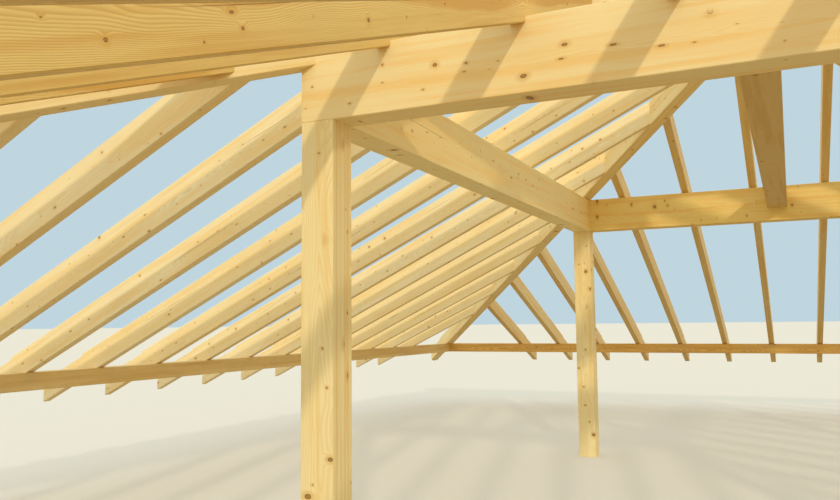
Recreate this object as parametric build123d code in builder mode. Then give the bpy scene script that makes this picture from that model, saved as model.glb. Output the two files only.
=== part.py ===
"""Timber hip roof frame on four posts, with its purlins, tie beam, hips, rafters and wall plates.

Sizes are in millimetres. x runs across the house, y runs from front to back, z = 0 is the floor
under the posts, and the origin is the middle of the plan.
"""
from build123d import *
from math import cos, radians, sqrt, tan, atan
import os

os.makedirs("parts", exist_ok=True)

# Roof planes
side_pitch = 25.7           # degrees, left and right slopes
end_pitch = 20.95           # degrees, front and back slopes
ridge_half = 195            # half of the short ridge line, which runs along y

# Ring of purlins on four posts
ring_half_x = 2300          # outer face of the left and right purlins
post_height = 2710
post_side = 200
purlin_width = 200
purlin_depth = 380
purlin_seat = 40            # how deep the side rafters are notched over the purlins

# Tie beam, king post and ridge purlin over it
tie_width = 200
tie_depth = 240
king_side = 160
ridge_purlin_width = 160
ridge_purlin_depth = 200
ridge_purlin_reach = 200    # how far the ridge purlin runs past each end of the ridge line
ridge_seat = 35

# Wall plates
plate_outer_x = 6250
plate_width = 160
plate_depth = 160
plate_seat = 56

# Rafters and hips
rafter_width = 80
rafter_depth = 210
hip_width = 140
hip_depth = 260
eaves_overhang = 620        # level distance from the wall plate's outer face to the rafter's end
tail_start = 90             # level distance from the plate's outer face to the step in the top
tail_step = 24              # depth of the step that takes the eaves boards

side_spacing = 802
side_shift = -66            # the rafter rows aren't centred on the plan
side_each_way = 8           # rafters each side of the middle one
front_spacing = 737
front_shift = -315
front_first, front_last = -6, 7
back_spacing = 732
back_shift = -245
back_first, back_last = -6, 7

edge_chamfer = 4            # planed timber has its long edges broken

# Worked out from the sizes above
side_tan = tan(radians(side_pitch))
end_tan = tan(radians(end_pitch))
hip_turn = side_tan / end_tan                   # y that a hip gains for each x
hip_length_per_x = sqrt(1 + hip_turn**2)
hip_tan = side_tan / hip_length_per_x
hip_half_y = hip_width / 2 * hip_length_per_x   # half of the hip's width, measured along y

side_plumb = rafter_depth / cos(radians(side_pitch))
end_plumb = rafter_depth / cos(radians(end_pitch))
hip_plumb = hip_depth / cos(atan(hip_tan))

purlin_top = post_height + purlin_depth
ridge_line = purlin_top - purlin_seat + side_plumb + side_tan * ring_half_x
ridge_purlin_top = ridge_line - side_plumb - side_tan * ridge_purlin_width / 2 + ridge_seat
plate_top = ridge_line - side_plumb - side_tan * plate_outer_x + plate_seat
eaves_x = plate_outer_x + eaves_overhang


def on_hip(x):
    """The y of the hip line at this x: the ring, the plates and the eaves all turn there."""
    return ridge_half + hip_turn * x


ring_half_y = on_hip(ring_half_x)
plate_outer_y = on_hip(plate_outer_x)
eaves_y = on_hip(eaves_x)
tail_x = plate_outer_x + tail_start
tail_y = on_hip(tail_x)
ring_inner_x = ring_half_x - purlin_width
ring_inner_y = ring_half_y - purlin_width


def save(part, name):
    part.label = name
    export_step(part, f"parts/{name}.step")


def beam(low, high, along):
    """A planed beam between two opposite corners, with its edges along one axis chamfered."""
    size = [b - a for a, b in zip(low, high)]
    middle = tuple((a + b) / 2 for a, b in zip(low, high))
    with BuildPart() as timber:
        with Locations(middle):
            Box(*size)
        chamfer(timber.edges().filter_by(along), edge_chamfer)
    return timber.part


def slope_bar(plane, crown, slope, plumb, start, end, width):
    """A sloping bar in an upright plane: local x is the level distance out, local y is up.

    Its top runs from the height crown at x = 0, and it is plumb tall, measured upright.
    """
    with BuildPart() as bar:
        with BuildSketch(plane):
            with BuildLine():
                Polyline(
                    (start, crown - slope * start),
                    (end, crown - slope * end),
                    (end, crown - slope * end - plumb),
                    (start, crown - slope * start - plumb),
                    close=True,
                )
            make_face()
        extrude(amount=width / 2, both=True)
        run = (plane.x_dir - plane.y_dir * slope).normalized()
        long_edges = bar.edges().filter_by(Axis(plane.origin, run))
        chamfer(long_edges, edge_chamfer)
    return bar.part


def notch(plane, low_x, high_x, low_z, high_z, width):
    """An upright rectangle in the same plane, wide enough to cut right through the bar."""
    with BuildPart() as block:
        with BuildSketch(plane):
            with Locations(((low_x + high_x) / 2, (low_z + high_z) / 2)):
                Rectangle(high_x - low_x, high_z - low_z)
        extrude(amount=width, both=True)
    return block.part


def rafter(plane, crown, slope, plumb, lines, hip_face):
    """A rafter cut from its bar: seats over the plate, purlin and ridge, a tail step, a hip cut."""
    plate_out, ring_out, eaves, tail = lines
    bar = slope_bar(plane, crown, slope, plumb, 0, eaves, rafter_width)
    seats = [
        notch(plane, plate_out - 2 * plate_width, plate_out, plate_top - plate_depth, plate_top,
              rafter_width),
        notch(plane, ring_out - 2 * purlin_width, ring_out, purlin_top - purlin_depth, purlin_top,
              rafter_width),
        notch(plane, 0, ridge_purlin_width / 2, ridge_purlin_top - ridge_purlin_depth,
              ridge_purlin_top, rafter_width),
        tail_cut(plane, crown, slope, tail, eaves),
    ]
    with BuildPart() as cut_rafter:
        add(bar)
        for seat in seats:
            add(seat, mode=Mode.SUBTRACT)
        split(bisect_by=hip_face, keep=Keep.TOP)
    return cut_rafter.part


def tail_cut(plane, crown, slope, tail, eaves):
    """The shallow wedge of timber taken off the top of a rafter's tail for the eaves boards."""
    past = eaves + tail_step
    with BuildPart() as wedge:
        with BuildSketch(plane):
            with BuildLine():
                Polyline(
                    (tail, crown - slope * tail - tail_step),
                    (past, crown - slope * past - tail_step),
                    (past, crown - slope * past + tail_step),
                    (tail, crown - slope * tail + tail_step),
                    close=True,
                )
            make_face()
        extrude(amount=rafter_width, both=True)
    return wedge.part


def hip_side(side, end, outward):
    """The upright side face of one hip. outward is +1 for its end slope and -1 for its side slope."""
    face_y = end * (ridge_half + outward * hip_half_y)
    normal = Vector(-side * hip_turn, end, 0) * outward
    return Plane(origin=(0, face_y, 0), z_dir=normal)


def side_rafter(side, y):
    end = 1 if y > 0 else -1
    plane = Plane(origin=(0, y, 0), x_dir=(side, 0, 0), z_dir=(0, -side, 0))
    lines = (plate_outer_x, ring_half_x, eaves_x, tail_x)
    return rafter(plane, ridge_line, side_tan, side_plumb, lines, hip_side(side, end, -1))


def end_rafter(end, x):
    side = 1 if x > 0 else -1
    plane = Plane(origin=(x, 0, 0), x_dir=(0, end, 0), z_dir=(end, 0, 0))
    lines = (plate_outer_y, ring_half_y, eaves_y, tail_y)
    crown = ridge_line + end_tan * ridge_half
    return rafter(plane, crown, end_tan, end_plumb, lines, hip_side(side, end, 1))


def hip(side, end):
    """A hip: backed to both slopes, notched over the ring's and the plates' corners, cut at the eaves."""
    along = Vector(side, end * hip_turn, 0).normalized()
    plane = Plane(origin=(0, end * ridge_half, 0), x_dir=along, z_dir=along.cross(Vector(0, 0, 1)))
    overrun = 2 * hip_width
    bar = slope_bar(plane, ridge_line, hip_tan, hip_plumb,
                    -overrun, eaves_x * hip_length_per_x + overrun, hip_width)
    roof_side = Plane(origin=(0, 0, ridge_line), z_dir=(-side * side_tan, 0, -1))
    roof_end = Plane(origin=(0, end * ridge_half, ridge_line), z_dir=(0, -end * end_tan, -1))
    backing_drop = side_tan * hip_width / 2 * hip_turn / hip_length_per_x
    tail_drop = tail_step + backing_drop
    tail = tail_x * hip_length_per_x
    past = (eaves_x + hip_width) * hip_length_per_x
    with BuildPart() as tail_block:
        with BuildSketch(plane):
            with BuildLine():
                Polyline(
                    (tail, ridge_line - hip_tan * tail - tail_drop),
                    (past, ridge_line - hip_tan * past - tail_drop),
                    (past, ridge_line - hip_tan * past + hip_width),
                    (tail, ridge_line - hip_tan * tail + hip_width),
                    close=True,
                )
            make_face()
        extrude(amount=hip_width, both=True)
    with BuildPart() as timber:
        add(bar)
        for face in (
            roof_side,
            roof_end,
            Plane(origin=(0, 0, 0), z_dir=(side, 0, 0)),
            Plane(origin=(side * eaves_x, 0, 0), z_dir=(-side, 0, 0)),
            Plane(origin=(0, end * eaves_y, 0), z_dir=(0, -end, 0)),
        ):
            split(bisect_by=face, keep=Keep.TOP)
        with Locations((0, 0, purlin_top - purlin_depth / 2)):
            Box(2 * ring_half_x, 2 * ring_half_y, purlin_depth, mode=Mode.SUBTRACT)
        with Locations((0, 0, plate_top - plate_depth / 2)):
            Box(2 * plate_outer_x, 2 * plate_outer_y, plate_depth, mode=Mode.SUBTRACT)
        with Locations((0, 0, ridge_purlin_top - ridge_purlin_depth / 2)):
            Box(ridge_purlin_width, 2 * (ridge_half + ridge_purlin_reach), ridge_purlin_depth,
                mode=Mode.SUBTRACT)
        add(tail_block.part, mode=Mode.SUBTRACT)
    return timber.part


def save_rows(word, pieces):
    """Neighbouring rafters of one slope share a file, two at a time."""
    for first in range(0, len(pieces), 2):
        pair = pieces[first:first + 2]
        numbers = "_".join(f"{first + 1 + k:02d}" for k in range(len(pair)))
        with BuildPart() as row:
            add(pair)
        save(row.part, f"rafters_{word}_{numbers}")


# Posts, with the purlins resting on them
for side, side_word in ((-1, "left"), (1, "right")):
    for end, end_word in ((-1, "front"), (1, "back")):
        x = sorted((side * ring_half_x, side * (ring_half_x - post_side)))
        y = sorted((end * ring_half_y, end * (ring_half_y - post_side)))
        post = beam((x[0], y[0], 0), (x[1], y[1], post_height), Axis.Z)
        save(post, f"post_{end_word}_{side_word}")

# The front purlin runs right across, the side purlins butt against its back face,
# and the back purlin fits between the side purlins
save(beam((-ring_half_x, -ring_half_y, post_height), (ring_half_x, -ring_inner_y, purlin_top), Axis.X),
     "purlin_front")
save(beam((-ring_inner_x, ring_inner_y, post_height), (ring_inner_x, ring_half_y, purlin_top), Axis.X),
     "purlin_back")
save(beam((-ring_half_x, -ring_inner_y, post_height), (-ring_inner_x, ring_half_y, purlin_top), Axis.Y),
     "purlin_left")
save(beam((ring_inner_x, -ring_inner_y, post_height), (ring_half_x, ring_half_y, purlin_top), Axis.Y),
     "purlin_right")

# The tie beam between the front and back purlins, with a king post on it under the ridge purlin
save(beam((-tie_width / 2, -ring_inner_y, purlin_top - tie_depth),
          (tie_width / 2, ring_inner_y, purlin_top), Axis.Y), "tie_beam")
king_top = ridge_purlin_top - ridge_purlin_depth
save(beam((-king_side / 2, -king_side / 2, purlin_top),
          (king_side / 2, king_side / 2, king_top), Axis.Z), "king_post")
ridge_end = ridge_half + ridge_purlin_reach
save(beam((-ridge_purlin_width / 2, -ridge_end, king_top),
          (ridge_purlin_width / 2, ridge_end, ridge_purlin_top), Axis.Y), "ridge_purlin")

# Wall plates: the side plates run through, and the front and back plates butt between them
plate_inner_x = plate_outer_x - plate_width
plate_inner_y = plate_outer_y - plate_width
plate_low = plate_top - plate_depth
for side, word in ((-1, "left"), (1, "right")):
    x = sorted((side * plate_inner_x, side * plate_outer_x))
    save(beam((x[0], -plate_outer_y, plate_low), (x[1], plate_outer_y, plate_top), Axis.Y),
         f"wall_plate_{word}")
for end, word in ((-1, "front"), (1, "back")):
    y = sorted((end * plate_inner_y, end * plate_outer_y))
    save(beam((-plate_inner_x, y[0], plate_low), (plate_inner_x, y[1], plate_top), Axis.X),
         f"wall_plate_{word}")

# Hips
for side, side_word in ((-1, "left"), (1, "right")):
    for end, end_word in ((-1, "front"), (1, "back")):
        save(hip(side, end), f"hip_{end_word}_{side_word}")

# Rafters: the side rows are numbered from front to back, the end rows from left to right
side_rows = [side_shift + k * side_spacing for k in range(-side_each_way, side_each_way + 1)]
save_rows("left", [side_rafter(-1, y) for y in side_rows])
save_rows("right", [side_rafter(1, y) for y in side_rows])
front_rows = [front_shift + k * front_spacing for k in range(front_first, front_last + 1)]
save_rows("front", [end_rafter(-1, x) for x in front_rows])
back_rows = [back_shift + k * back_spacing for k in range(back_first, back_last + 1)]
save_rows("back", [end_rafter(1, x) for x in back_rows])
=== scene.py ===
from math import cos, hypot, radians, sin, tan

import bpy
from mathutils import Matrix, Vector


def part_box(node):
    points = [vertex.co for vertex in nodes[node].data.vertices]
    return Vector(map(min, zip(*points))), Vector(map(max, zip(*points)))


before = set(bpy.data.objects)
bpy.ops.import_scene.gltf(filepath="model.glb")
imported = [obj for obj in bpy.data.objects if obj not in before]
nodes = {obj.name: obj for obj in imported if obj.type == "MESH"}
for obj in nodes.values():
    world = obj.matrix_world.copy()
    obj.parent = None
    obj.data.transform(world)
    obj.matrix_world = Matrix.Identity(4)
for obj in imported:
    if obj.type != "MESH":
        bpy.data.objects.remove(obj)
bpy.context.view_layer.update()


# View, floor and light.
# The frame is seen from inside the front eaves, at eye height, looking up and to the left at the ring of
# purlins. A low soft lamp from the front right lights it between the rafters, over a plain pale floor.
view_data = bpy.data.cameras.new("view")
view_data.lens = 33.857
view_data.sensor_width = 36
view_data.clip_end = 2000
view = bpy.data.objects.new("view", view_data)
bpy.context.scene.collection.objects.link(view)
view.location = (0.088, -6.67, 1.609)
view.rotation_euler = (radians(95.29686), radians(0.58105), radians(25.13093))
bpy.context.scene.camera = view
bpy.context.scene.view_settings.view_transform = "Standard"

floor_half = 600
floor_pale = (0.75, 0.71, 0.61, 1)
floor_bounce = (0.50, 0.42, 0.29, 1)     # what the timbers see of it, so that their undersides stay darker
bpy.ops.object.select_all(action="DESELECT")
bpy.ops.mesh.primitive_plane_add(size=2 * floor_half, location=(0, 0, 0))
floor = bpy.context.object
floor.name = "floor"
floor_material = bpy.data.materials.new("floor")
floor_material.use_nodes = True
tree = floor_material.node_tree
tree.nodes.clear()
output = tree.nodes.new("ShaderNodeOutputMaterial")
matt = tree.nodes.new("ShaderNodeBsdfDiffuse")
path = tree.nodes.new("ShaderNodeLightPath")
shade = tree.nodes.new("ShaderNodeMix")
shade.data_type = "RGBA"
shade.inputs["A"].default_value = floor_bounce
shade.inputs["B"].default_value = floor_pale
tree.links.new(path.outputs["Is Camera Ray"], shade.inputs["Factor"])
tree.links.new(shade.outputs["Result"], matt.inputs["Color"])
tree.links.new(matt.outputs["BSDF"], output.inputs["Surface"])
floor.data.materials.append(floor_material)

sky_light = 1.06
sky_tint = (0.96, 1, 0.98, 1)
sky_seen = (0.52, 0.67, 0.74, 1)
world = bpy.data.worlds.new("soft_box")
bpy.context.scene.world = world
world.use_nodes = True
tree = world.node_tree
tree.nodes.clear()
output = tree.nodes.new("ShaderNodeOutputWorld")
lit = tree.nodes.new("ShaderNodeBackground")
lit.inputs["Color"].default_value = sky_tint
lit.inputs["Strength"].default_value = sky_light
seen = tree.nodes.new("ShaderNodeBackground")
seen.inputs["Color"].default_value = sky_seen
seen.inputs["Strength"].default_value = 1
path = tree.nodes.new("ShaderNodeLightPath")
choose = tree.nodes.new("ShaderNodeMixShader")
tree.links.new(path.outputs["Is Camera Ray"], choose.inputs["Fac"])
tree.links.new(lit.outputs["Background"], choose.inputs[1])
tree.links.new(seen.outputs["Background"], choose.inputs[2])
tree.links.new(choose.outputs["Shader"], output.inputs["Surface"])

lamp_towards = Vector((-0.52, 1, -0.395))
lamp_strength = 1.0
lamp_softness = radians(2)
lamp_tint = (1, 0.88, 0.72)
lamp_data = bpy.data.lights.new("key_lamp", "SUN")
lamp_data.energy = lamp_strength
lamp_data.angle = lamp_softness
lamp_data.color = lamp_tint
lamp = bpy.data.objects.new("key_lamp", lamp_data)
lamp.rotation_euler = lamp_towards.to_track_quat("-Z", "Y").to_euler()
bpy.context.scene.collection.objects.link(lamp)


# Posts, and the king post under the ridge.
# Each is glued from planed spruce boards 40 mm thick, stands on the floor and carries the ring of purlins.
# Spruce is pale yellow with thin orange-brown growth lines, brown knots and fine drying cracks.
def wire(tree, kind, operation=None, **inputs):
    """Adds a node, sets or links its inputs by name or place, and gives the node back."""
    node = tree.nodes.new(kind)
    if operation:
        node.operation = operation
    for key, value in inputs.items():
        socket = node.inputs[int(key[1:])] if key[1:].isdigit() else node.inputs[key.replace("_", " ")]
        if isinstance(value, bpy.types.NodeSocket):
            tree.links.new(value, socket)
        else:
            socket.default_value = value
    return node


def sums(tree, operation, *values):
    """One Math node's result."""
    return wire(tree, "ShaderNodeMath", operation, **{f"i{k}": v for k, v in enumerate(values)}).outputs[0]


def ramp(tree, value, low, high, at_low=0.0, at_high=1.0):
    """The value carried smoothly from one range to another."""
    node = tree.nodes.new("ShaderNodeMapRange")
    node.interpolation_type = "SMOOTHSTEP"
    tree.links.new(value, node.inputs["Value"])
    for name, number in (("From Min", low), ("From Max", high), ("To Min", at_low), ("To Max", at_high)):
        if isinstance(number, bpy.types.NodeSocket):
            tree.links.new(number, node.inputs[name])
        else:
            node.inputs[name].default_value = number
    return node.outputs["Result"]


def noise(tree, vector, scale=1.0, detail=2.0, rough=0.5):
    """Soft cloudy noise, about 0.5 in the middle."""
    node = wire(tree, "ShaderNodeTexNoise", Vector=vector, Scale=scale, Detail=detail, Roughness=rough)
    return node.outputs["Fac"]


def thrown(tree, seed):
    """Three chance numbers that belong to this seed."""
    dice = tree.nodes.new("ShaderNodeTexWhiteNoise")
    dice.noise_dimensions = "1D"
    tree.links.new(seed, dice.inputs["W"])
    return wire(tree, "ShaderNodeSeparateColor", Color=dice.outputs["Color"]).outputs


def stretched(tree, vector, along, across):
    """The same place with its length and its section scaled apart, to draw a pattern out along the grain."""
    node = wire(tree, "ShaderNodeVectorMath", "MULTIPLY", i0=vector, i1=(along, across, across))
    return node.outputs["Vector"]


def mixed(tree, factor, a, b):
    """A colour carried from a to b by the factor."""
    node = tree.nodes.new("ShaderNodeMix")
    node.data_type = "RGBA"
    for name, value in (("Factor", factor), ("A", a), ("B", b)):
        socket = [s for s in node.inputs if s.name == name and s.enabled][0]
        if isinstance(value, bpy.types.NodeSocket):
            tree.links.new(value, socket)
        else:
            socket.default_value = value
    return [s for s in node.outputs if s.enabled][0]


# The figure of the wood, for a place in the timber given as length, width and depth in metres. Heart is how
# far the middle of the tree lies from the middle of the timber, across its width and its depth.
figure = bpy.data.node_groups.new("wood_figure", "ShaderNodeTree")
for name, kind, value in (("Place", "NodeSocketVector", None), ("Facing", "NodeSocketVector", None),
                          ("Heart", "NodeSocketVector", None), ("Timber", "NodeSocketFloat", 0.0),
                          ("Board", "NodeSocketFloat", 10.0), ("Ring gap", "NodeSocketFloat", 0.005),
                          ("Knots", "NodeSocketFloat", 1.0)):
    socket = figure.interface.new_socket(name=name, in_out="INPUT", socket_type=kind)
    if value is not None:
        socket.default_value = value
for name in ("Ring", "Knot", "Rim", "Halo", "Crack", "Seam", "Streak", "Board tone", "Fibre", "Heartwood",
             "End", "Dust"):
    figure.interface.new_socket(name=name, in_out="OUTPUT", socket_type="NodeSocketFloat")
given = figure.nodes.new("NodeGroupInput")
result = figure.nodes.new("NodeGroupOutput")
place = wire(figure, "ShaderNodeSeparateXYZ", Vector=given.outputs["Place"]).outputs
facing = wire(figure, "ShaderNodeSeparateXYZ", Vector=given.outputs["Facing"]).outputs
heart = wire(figure, "ShaderNodeSeparateXYZ", Vector=given.outputs["Heart"]).outputs

# Every glued board is a tree of its own. The section is drawn a hair small, so that a face that lies on a
# glue line belongs to the board inside it
section_shrink = 0.999
board_step = 0.731
second_throw = 5.3
board_at = sums(figure, "DIVIDE", sums(figure, "MULTIPLY", place["Z"], section_shrink),
                given.outputs["Board"])
board = sums(figure, "FLOOR", sums(figure, "ADD", board_at, 0.5))
seed = sums(figure, "MULTIPLY_ADD", board, board_step, given.outputs["Timber"])
chance = thrown(figure, seed)
other_chance = thrown(figure, sums(figure, "ADD", seed, second_throw))

# The heart lies on one side of the timber or the other, slants a little along it and wanders, in long bends
# and in short waves
pattern_shift = 13.7
bend_size = 0.10
wave_size = 0.020
slant_range = 0.022
width_spread, depth_spread = 0.06, 0.10
shift = wire(figure, "ShaderNodeCombineXYZ", X=sums(figure, "MULTIPLY", seed, pattern_shift))
moved = wire(figure, "ShaderNodeVectorMath", "ADD", i0=given.outputs["Place"],
             i1=shift.outputs["Vector"]).outputs["Vector"]
bends = wire(figure, "ShaderNodeTexNoise", Vector=stretched(figure, moved, 0.7, 1.5), Scale=1.0, Detail=1.0)
bend = wire(figure, "ShaderNodeSeparateColor", Color=bends.outputs["Color"]).outputs
waves = sums(figure, "MULTIPLY_ADD", noise(figure, stretched(figure, moved, 3.2, 7.0), detail=1.0), wave_size,
             -wave_size / 2)
side = sums(figure, "SUBTRACT", sums(figure, "MULTIPLY", sums(figure, "GREATER_THAN", chance["Red"], 0.5),
                                     2.0), 1.0)
slant = sums(figure, "MULTIPLY", sums(figure, "SUBTRACT", chance["Green"], 0.5), slant_range)
heart_v = sums(figure, "MULTIPLY_ADD", sums(figure, "MULTIPLY_ADD", chance["Blue"], width_spread, heart["Y"]),
               side, sums(figure, "MULTIPLY", place["X"], slant))
heart_w = sums(figure, "MULTIPLY_ADD", sums(figure, "SUBTRACT", other_chance["Red"], 0.5), depth_spread,
               heart["Z"])
from_v = sums(figure, "ADD", sums(figure, "SUBTRACT", place["Y"], heart_v), sums(
    figure, "MULTIPLY_ADD", bend["Red"], bend_size, -bend_size / 2))
from_w = sums(figure, "ADD", sums(figure, "SUBTRACT", place["Z"], heart_w), sums(
    figure, "MULTIPLY_ADD", bend["Green"], bend_size, -bend_size / 2))
radius = sums(figure, "ADD", waves, sums(figure, "SQRT", sums(
    figure, "ADD", sums(figure, "MULTIPLY", from_v, from_v), sums(figure, "MULTIPLY", from_w, from_w))))
angle = sums(figure, "ARCTAN2", from_v, from_w)

# Knots are branches that run out from the heart, so each has a place along it and an angle round it. They
# show where they come out through a face, and not where a face lies along them
knots_a_metre = 4.6
knots_round = 0.9
knot_shift = 7.9
smallest_knot, knot_range = 0.008, 0.050
knot_rough, knot_edge = 0.016, 0.006
halo_reach, halo_margin = 3.0, 0.03      # in sizes of the knot, and in metres beyond that
bulge_reach, bulge_margin = 4.0, 0.05
branch = wire(figure, "ShaderNodeCombineXYZ", X=sums(figure, "MULTIPLY_ADD", place["X"], knots_a_metre,
                                                     sums(figure, "MULTIPLY", seed, knot_shift)),
              Y=sums(figure, "MULTIPLY", angle, knots_round)).outputs["Vector"]
spots = wire(figure, "ShaderNodeTexVoronoi", Vector=branch, Scale=1.0)
spots.voronoi_dimensions = "2D"
knot_dice = wire(figure, "ShaderNodeSeparateColor", Color=spots.outputs["Color"]).outputs
knot_size = sums(figure, "MULTIPLY", given.outputs["Knots"], sums(
    figure, "MULTIPLY_ADD", sums(figure, "POWER", knot_dice["Red"], 2.2), knot_range, smallest_knot))
ragged = sums(figure, "MULTIPLY_ADD", noise(figure, moved, scale=70.0), knot_rough,
              sums(figure, "SUBTRACT", spots.outputs["Distance"], knot_rough / 2))
outwards = sums(figure, "ADD", sums(figure, "MULTIPLY", facing["Y"], from_v),
                sums(figure, "MULTIPLY", facing["Z"], from_w))
through = sums(figure, "ABSOLUTE", sums(figure, "DIVIDE", outwards, sums(figure, "MAXIMUM", radius, 0.01)))
shows = ramp(figure, through, 0.38, 0.62)
knot = sums(figure, "MULTIPLY", shows, ramp(figure, ragged, sums(figure, "ADD", knot_size, knot_edge),
                                            sums(figure, "SUBTRACT", knot_size, knot_edge)))
rim = sums(figure, "MULTIPLY", knot, ramp(figure, ragged, sums(figure, "MULTIPLY", knot_size, 0.55),
                                          knot_size))
halo = sums(figure, "MULTIPLY", shows, ramp(figure, ragged, sums(
    figure, "MULTIPLY_ADD", knot_size, halo_reach, halo_margin), knot_size))
bulge = sums(figure, "MULTIPLY", knot_size, ramp(figure, spots.outputs["Distance"], sums(
    figure, "MULTIPLY_ADD", knot_size, bulge_reach, bulge_margin), 0.0))

# Growth rings: pale early wood that darkens slowly, then ends sharply, and that bends round the knots. The
# older wood inside is richer
knot_push = 0.22
uneven_rings = 3.0
heart_smallest, heart_range = 0.03, 0.14
heart_blend_out, heart_blend_in = 0.008, 0.004
grown = sums(figure, "MULTIPLY_ADD", bulge, -knot_push, radius)
uneven = sums(figure, "MULTIPLY", noise(figure, stretched(figure, moved, 0.2, 12.0)), uneven_rings)
ring_step = sums(figure, "FRACT", sums(figure, "ADD", uneven, sums(figure, "DIVIDE", grown,
                                                                   given.outputs["Ring gap"])))
ring = sums(figure, "MULTIPLY", ramp(figure, ring_step, 0.2, 0.85), ramp(figure, ring_step, 1.0, 0.88))
heart_edge = sums(figure, "MULTIPLY_ADD", other_chance["Blue"], heart_range, heart_smallest)
heartwood = ramp(figure, grown, sums(figure, "ADD", heart_edge, heart_blend_out),
                 sums(figure, "SUBTRACT", heart_edge, heart_blend_in))

# Drying cracks open along the grain in a plane through the heart, and only for part of the length
crack_opening = 0.0020
crack_closed = 0.00001                   # just above nothing, for the division inside the ramp
crack_wander = 0.16
crack_spread, crack_start = 0.9, -0.5    # the plane's angle, in radians
quarter_turn = 1.5708                    # in radians
crack_turn = sums(figure, "MULTIPLY_ADD", other_chance["Green"], crack_spread, crack_start)
crack_line = sums(figure, "MULTIPLY_ADD", noise(figure, stretched(figure, moved, 1.6, 0.1), detail=5.0),
                  crack_wander, crack_turn)
crack_side = sums(figure, "MULTIPLY", side, sums(figure, "SUBTRACT", quarter_turn, crack_line))
crack_off = sums(figure, "MULTIPLY", radius, sums(figure, "ABSOLUTE", sums(figure, "ADD", angle, crack_side)))
crack_run = ramp(figure, noise(figure, stretched(figure, moved, 0.8, 0.02), detail=1.0), 0.50, 0.60)
crack_width = sums(figure, "MULTIPLY_ADD", crack_run, crack_opening, crack_closed)
crack = sums(figure, "MULTIPLY", ramp(figure, crack_off, crack_width, 0.0), crack_run)

# Glue lines between boards, long soft streaks, fine fibres, dull dust and the darker cut ends
seam_edge, seam_core = 0.0016, 0.0003
seam_off = sums(figure, "SUBTRACT", 0.5, sums(figure, "ABSOLUTE", sums(figure, "SUBTRACT", sums(
    figure, "FRACT", sums(figure, "ADD", board_at, 0.5)), 0.5)))
seam = sums(figure, "MULTIPLY", ramp(figure, sums(figure, "MULTIPLY", seam_off, given.outputs["Board"]),
                                     seam_edge, seam_core),
            ramp(figure, sums(figure, "ABSOLUTE", facing["Z"]), 0.7, 0.4))
streak = noise(figure, stretched(figure, moved, 0.9, 22.0), detail=3.0, rough=0.55)
fibre = noise(figure, stretched(figure, moved, 4.0, 160.0), detail=3.0, rough=0.6)
dust = noise(figure, moved, scale=2.3, detail=4.0, rough=0.6)
end = ramp(figure, sums(figure, "ABSOLUTE", facing["X"]), 0.45, 0.75)
for name, socket in (("Ring", ring), ("Knot", knot), ("Rim", rim), ("Halo", halo), ("Crack", crack),
                     ("Seam", seam), ("Streak", streak), ("Board tone", chance["Blue"]), ("Fibre", fibre),
                     ("Heartwood", heartwood), ("End", end), ("Dust", dust)):
    figure.links.new(socket, result.inputs[name])


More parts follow.
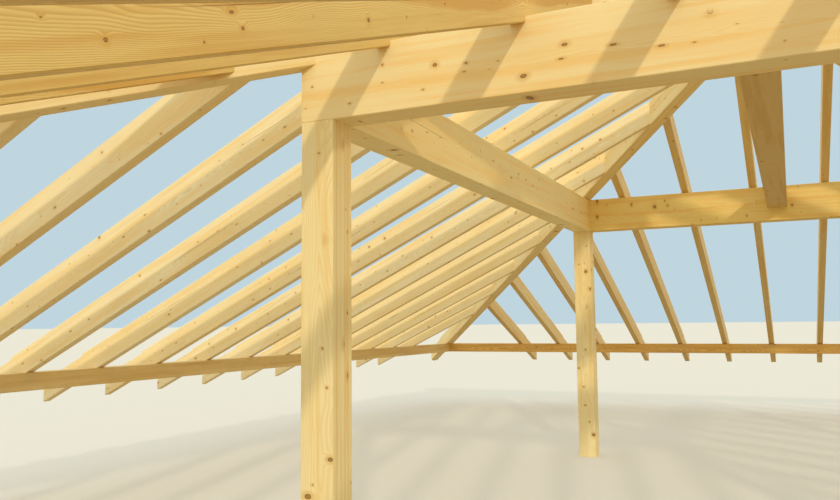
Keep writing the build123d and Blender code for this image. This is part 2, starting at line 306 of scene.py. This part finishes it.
def timber_material(name, centre, along, tree_number, pale, dark, heart=(0, 0.055, 0), board=10.0, row=None,
                    ring_gap=0.005, ring_depth=0.7, heartwood=0.34, knots=1.0, dulled=0.08):
    """Spruce laid out along one timber, or along every timber of an evenly spaced row. The tree number picks
    the timber's own figure, and the two colours are those of early and of late wood."""
    material = bpy.data.materials.new(name)
    material.use_nodes = True
    tree = material.node_tree
    tree.nodes.clear()
    output = tree.nodes.new("ShaderNodeOutputMaterial")
    spruce = tree.nodes.new("ShaderNodeBsdfPrincipled")
    tree.links.new(spruce.outputs["BSDF"], output.inputs["Surface"])
    surface = tree.nodes.new("ShaderNodeTexCoord").outputs
    object_place = surface["Object"]
    timber = tree_number
    if row:          # the same place in every timber of the row, and a number for each by its place in it
        tree_step = 1.37
        axis, spacing, offset = row
        parts = wire(tree, "ShaderNodeSeparateXYZ", Vector=object_place).outputs
        rank = sums(tree, "ROUND", sums(tree, "DIVIDE", sums(tree, "SUBTRACT", parts[axis], offset), spacing))
        own = sums(tree, "SUBTRACT", sums(tree, "SUBTRACT", parts[axis], offset),
                   sums(tree, "MULTIPLY", rank, spacing))
        put = wire(tree, "ShaderNodeCombineXYZ", X=own if axis == "X" else parts["X"],
                   Y=own if axis == "Y" else parts["Y"], Z=parts["Z"])
        object_place = put.outputs["Vector"]
        timber = sums(tree, "MULTIPLY_ADD", rank, tree_step, tree_number)
    length = Vector(along).normalized()
    width = (Vector((0, 0, 1)).cross(length) if abs(length.z) < 0.9 else Vector((1, 0, 0))).normalized()
    turn = Matrix((length, width, length.cross(width))).transposed().to_euler()
    laid = []
    for source, start in ((object_place, centre), (surface["Normal"], (0, 0, 0))):
        lay = wire(tree, "ShaderNodeMapping", Vector=source)
        lay.vector_type = "TEXTURE"
        lay.inputs["Location"].default_value = start
        lay.inputs["Rotation"].default_value = turn
        laid.append(lay.outputs["Vector"])
    wood = tree.nodes.new("ShaderNodeGroup")
    wood.node_tree = figure
    tree.links.new(laid[0], wood.inputs["Place"])
    tree.links.new(laid[1], wood.inputs["Facing"])
    if row:
        tree.links.new(timber, wood.inputs["Timber"])
    else:
        wood.inputs["Timber"].default_value = timber
    wood.inputs["Heart"].default_value = heart
    wood.inputs["Board"].default_value = board
    wood.inputs["Ring gap"].default_value = ring_gap
    wood.inputs["Knots"].default_value = knots
    marks = wood.outputs

    def stain(colour, amount, share, tint):
        return mixed(tree, sums(tree, "MULTIPLY", amount, share), colour, tint + (1,))

    amber = (dark[0] * 1.05, dark[1] * 0.96, dark[2] * 0.72)
    dust = (0.42, 0.34, 0.22)
    sap_stain = (0.74, 0.43, 0.09)
    knot_wood = (0.38, 0.18, 0.035)
    bark = (0.09, 0.042, 0.010)
    glue = (0.34, 0.20, 0.07)
    crack_shade = (0.05, 0.028, 0.012)
    end_grain = (0.45, 0.27, 0.10)
    colour = mixed(tree, sums(tree, "MULTIPLY", marks["Ring"], ring_depth), pale + (1,), dark + (1,))
    colour = stain(colour, marks["Heartwood"], heartwood, amber)
    colour = stain(colour, ramp(tree, marks["Streak"], 0.45, 0.66), 0.60, amber)
    colour = stain(colour, ramp(tree, marks["Fibre"], 0.4, 0.75), 0.20, dark)
    colour = stain(colour, marks["Board tone"], 0.25, dark)
    colour = stain(colour, ramp(tree, marks["Dust"], 0.45, 0.75), dulled, dust)
    colour = stain(colour, marks["Halo"], 0.55, sap_stain)
    colour = stain(colour, marks["Knot"], 0.90, knot_wood)
    colour = stain(colour, marks["Rim"], 0.85, bark)
    colour = stain(colour, marks["Seam"], 0.50, glue)
    colour = stain(colour, marks["Crack"], 0.90, crack_shade)
    colour = stain(colour, marks["End"], 0.35, end_grain)
    tree.links.new(colour, spruce.inputs["Base Color"])
    tree.links.new(ramp(tree, marks["Ring"], 0.0, 1.0, 0.74, 0.60), spruce.inputs["Roughness"])
    relief = 0.0006
    raised = sums(tree, "MULTIPLY_ADD", marks["Ring"], 0.35, sums(tree, "MULTIPLY", marks["Fibre"], 0.25))
    sunk = sums(tree, "MULTIPLY_ADD", marks["Crack"], 3.0, marks["Seam"])
    bump = wire(tree, "ShaderNodeBump", Height=sums(tree, "SUBTRACT", raised, sunk), Strength=0.6,
                Distance=relief)
    tree.links.new(bump.outputs["Normal"], spruce.inputs["Normal"])
    return material


def dress(name, material):
    """Puts a finish on one of the frame's own timbers."""
    timber = nodes[name]
    timber.data.materials.clear()
    timber.data.materials.append(material)


def middle(name):
    """The middle of one timber's box."""
    low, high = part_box(name)
    return (low + high) / 2


post_pale = (0.98, 0.86, 0.47)
post_dark = (0.88, 0.66, 0.27)
upright = (0, 0, 1)
glued_board = 0.04
for name, tree_number in (("post_front_left", 25.1), ("post_back_left", 23.1), ("post_front_right", 26.2),
                          ("post_back_right", 29.3), ("king_post", 32.4)):
    dress(name, timber_material(name, middle(name), upright, tree_number, post_pale, post_dark,
                                heart=(0, 0, 0.15), board=glued_board, ring_depth=0.6, heartwood=0.15,
                                knots=1.6))


# Ring of purlins, the tie beam across it and the short ridge purlin.
# Deep glued spruce beams: the front purlin runs right across, and the side purlins and the tie beam butt
# against its back. They are planed and unfinished.
across, lengthways = (1, 0, 0), (0, 1, 0)
yellow_beam = ((0.97, 0.82, 0.43), (0.88, 0.62, 0.23))
palest_beam = ((0.99, 0.87, 0.46), (0.92, 0.68, 0.27))
amber_beam = ((0.95, 0.75, 0.26), (0.82, 0.53, 0.14))
# The tie beam's colours are darker than its wood: painted shade, for the shade it hangs in under the roof.
shade_darkened_beam = ((0.76, 0.56, 0.21), (0.60, 0.38, 0.11))
for name, along, tree_number, (pale, dark) in (
        ("purlin_front", across, 56.8, yellow_beam), ("purlin_back", across, 55.7, amber_beam),
        ("purlin_left", lengthways, 56.3, palest_beam), ("purlin_right", lengthways, 56.9, palest_beam),
        ("tie_beam", lengthways, 59.2, shade_darkened_beam), ("ridge_purlin", lengthways, 61.5, yellow_beam)):
    dress(name, timber_material(name, middle(name), along, tree_number, pale, dark, heart=(0, 0.12, 0),
                                ring_depth=0.38, heartwood=0.22, knots=1.3))


# Rafters.
# Solid spruce, 80 x 210 mm, notched over the purlins and the wall plates. Every row is evenly spaced, so
# each timber's own figure comes from its place in the row.
side_pitch = radians(25.7)
end_pitch = radians(20.95)
side_row = ("Y", 0.802, -0.066)          # the way the row runs, its spacing, and where one rafter of it lies
front_row = ("X", 0.737, -0.315)
back_row = ("X", 0.732, -0.245)
ridge_height = 4.39
ridge_half = 0.195
below_top = 0.11                         # from the top edge down to the middle of a rafter
side_top = (0, 0, ridge_height - below_top)
end_top = (0, 0, ridge_height + ridge_half * tan(end_pitch) - below_top)
palest_rafter = ((0.99, 0.87, 0.53), (0.89, 0.68, 0.31))
amber_rafter = ((0.89, 0.66, 0.22), (0.66, 0.39, 0.09))
# The back row's colours are darker than the other rows: painted shade, for the shaded sides and undersides
# seen from below.
shade_darkened_rafter = ((0.86, 0.67, 0.30), (0.70, 0.47, 0.15))
fine_rings = 0.0033
down_left = (-cos(side_pitch), 0, -sin(side_pitch))
down_right = (cos(side_pitch), 0, -sin(side_pitch))
down_front = (0, -cos(end_pitch), -sin(end_pitch))
down_back = (0, cos(end_pitch), -sin(end_pitch))
for word, along, top, row, tree_number, (pale, dark), heartwood, knots in (
        ("left", down_left, side_top, side_row, 100, palest_rafter, 0.34, 0.75),
        ("right", down_right, side_top, side_row, 140.3, palest_rafter, 0.34, 0.75),
        ("front", down_front, end_top, front_row, 195.0, amber_rafter, 0.85, 1.0),
        ("back", down_back, end_top, back_row, 220.9, shade_darkened_rafter, 0.34, 0.75)):
    material = timber_material(f"rafters_{word}", top, along, tree_number, pale, dark, row=row,
                               ring_gap=fine_rings, heartwood=heartwood, knots=knots)
    for name in nodes:
        if name.startswith(f"rafters_{word}_"):
            dress(name, material)


# Hips.
# Four deeper solid spruce timbers, 140 x 260 mm, run from the ridge over the corners of the ring to the
# corners of the eaves, with the short rafters cut against their sides.
hip_pale = (0.96, 0.80, 0.41)
hip_dark = (0.82, 0.58, 0.21)
hip_turn = tan(side_pitch) / tan(end_pitch)
hip_slope = tan(side_pitch) / hypot(1, hip_turn)
hip_below_top = 0.14
for name, side, end, tree_number in (("hip_front_left", -1, -1, 299), ("hip_back_left", -1, 1, 301),
                                     ("hip_front_right", 1, -1, 306.7), ("hip_back_right", 1, 1, 308.7)):
    plan = Vector((side, end * hip_turn, 0)).normalized()
    along = plan - Vector((0, 0, hip_slope))
    top = (0, end * ridge_half, ridge_height - hip_below_top)
    dress(name, timber_material(name, top, along, tree_number, hip_pale, hip_dark, heart=(0, 0.08, 0)))


# Wall plates.
# Sawn solid spruce, 160 x 160 mm, laid flat along the eaves under the rafters. They lay outside longer than
# the rest, so they are orange brown, and the left one is greyer.
orange_plate = ((0.88, 0.55, 0.14), (0.62, 0.34, 0.07))
greyed_plate = ((0.88, 0.65, 0.27), (0.62, 0.42, 0.14))
for name, along, tree_number, (pale, dark) in (
        ("wall_plate_left", lengthways, 400, greyed_plate),
        ("wall_plate_right", lengthways, 405.9, orange_plate),
        ("wall_plate_front", across, 411.8, orange_plate),
        ("wall_plate_back", across, 417.7, orange_plate)):
    dress(name, timber_material(name, middle(name), along, tree_number, pale, dark, heart=(0, 0.09, 0),
                                dulled=0.22))
